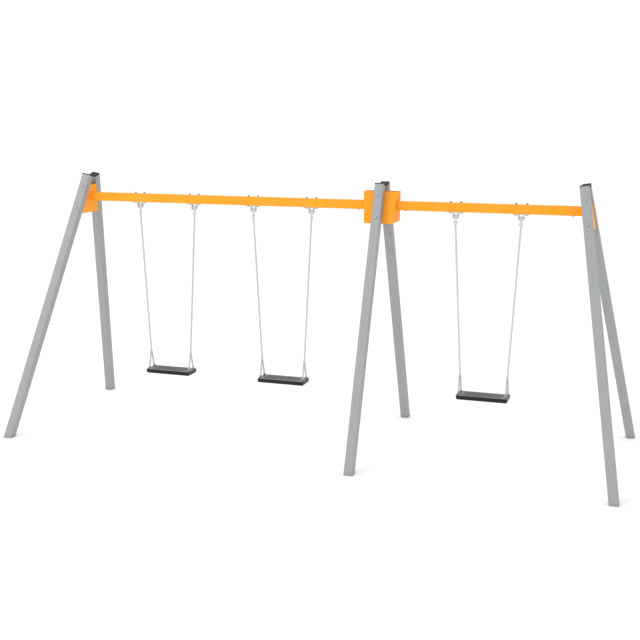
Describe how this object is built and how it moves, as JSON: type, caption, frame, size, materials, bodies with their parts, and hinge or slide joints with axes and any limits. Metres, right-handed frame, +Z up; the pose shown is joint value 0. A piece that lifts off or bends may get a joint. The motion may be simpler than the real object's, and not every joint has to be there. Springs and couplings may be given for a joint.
{
  "type": "swing set",
  "caption": "Playground swing frame: splayed square-tube A-frames carry a beam with flat rubber seats hung on chains that swing and rock.",
  "frame": {"origin": "on the ground at the centre of the footprint", "axes": "+X along the beams towards the short bay, +Y from front to rear, +Z up"},
  "size_m": [5.7642, 2.0416, 2.4954],
  "materials": {
    "galvanised_steel": "hot-dip galvanised, dull grey",
    "orange_paint": "orange powder coat, satin",
    "zinc_hardware": "zinc plated",
    "chain_steel": "bright galvanised",
    "cap_plastic": "black moulded plastic",
    "bush_nylon": "black nylon",
    "insert_steel": "zinc plated insert",
    "seat_rubber": "moulded black rubber"
  },
  "bodies": {
    "frame": {"beam_long": "orange_paint", "beam_screws": "zinc_hardware", "beam_short": "orange_paint", "connector_left": "orange_paint", "connector_middle": "orange_paint", "connector_right": "orange_paint", "hanger_bolts": "zinc_hardware", "hanger_brackets_1": "zinc_hardware", "hanger_brackets_2": "zinc_hardware", "hanger_brackets_3": "zinc_hardware", "hanger_nuts": "zinc_hardware", "leg_bolts": "zinc_hardware", "leg_caps_left": "cap_plastic", "leg_caps_middle": "cap_plastic", "leg_caps_right": "cap_plastic", "leg_left_front": "galvanised_steel", "leg_left_rear": "galvanised_steel", "leg_middle_front": "galvanised_steel", "leg_middle_rear": "galvanised_steel", "leg_right_front": "galvanised_steel", "leg_right_rear": "galvanised_steel", "leg_washers": "zinc_hardware", "pivot_bolts": "zinc_hardware", "pivot_nuts": "zinc_hardware", "spigot_left": "orange_paint", "spigot_middle": "orange_paint", "spigot_right": "orange_paint"},
    "swing_1": {"hanger_yokes_1": "zinc_hardware", "hanger_bushes_1": "bush_nylon", "shackles_1": "chain_steel", "shackle_pins_1": "chain_steel", "chain_left_1": "chain_steel", "chain_right_1": "chain_steel"},
    "swing_seat_1": {"seat_1": "seat_rubber", "seat_core_1": "insert_steel", "seat_chains_1": "chain_steel", "seat_bolts_1": "zinc_hardware"},
    "swing_2": {"hanger_yokes_2": "zinc_hardware", "hanger_bushes_2": "bush_nylon", "shackles_2": "chain_steel", "shackle_pins_2": "chain_steel", "chain_left_2": "chain_steel", "chain_right_2": "chain_steel"},
    "swing_seat_2": {"seat_2": "seat_rubber", "seat_core_2": "insert_steel", "seat_chains_2": "chain_steel", "seat_bolts_2": "zinc_hardware"},
    "swing_3": {"hanger_yokes_3": "zinc_hardware", "hanger_bushes_3": "bush_nylon", "shackles_3": "chain_steel", "shackle_pins_3": "chain_steel", "chain_left_3": "chain_steel", "chain_right_3": "chain_steel"},
    "swing_seat_3": {"seat_3": "seat_rubber", "seat_core_3": "insert_steel", "seat_chains_3": "chain_steel", "seat_bolts_3": "zinc_hardware"}
  },
  "joints": [
    {"name": "swing_1_pivot", "type": "hinge", "parent": "frame", "child": "swing_1", "pos_m": [-1.575, 0, 2.182], "axis": [1, 0, 0], "range_deg": [-60, 60]},
    {"name": "seat_1_rock", "type": "hinge", "parent": "swing_1", "child": "swing_seat_1", "pos_m": [-1.575, 0, 0.71873], "axis": [1, 0, 0], "range_deg": [-20, 20]},
    {"name": "swing_2_pivot", "type": "hinge", "parent": "frame", "child": "swing_2", "pos_m": [-0.375, 0, 2.182], "axis": [1, 0, 0], "range_deg": [-60, 60]},
    {"name": "seat_2_rock", "type": "hinge", "parent": "swing_2", "child": "swing_seat_2", "pos_m": [-0.375, 0, 0.71873], "axis": [1, 0, 0], "range_deg": [-20, 20]},
    {"name": "swing_3_pivot", "type": "hinge", "parent": "frame", "child": "swing_3", "pos_m": [1.575, 0, 2.182], "axis": [1, 0, 0], "range_deg": [-60, 60]},
    {"name": "seat_3_rock", "type": "hinge", "parent": "swing_3", "child": "swing_seat_3", "pos_m": [1.575, 0, 0.71873], "axis": [1, 0, 0], "range_deg": [-20, 20]}
  ]
}
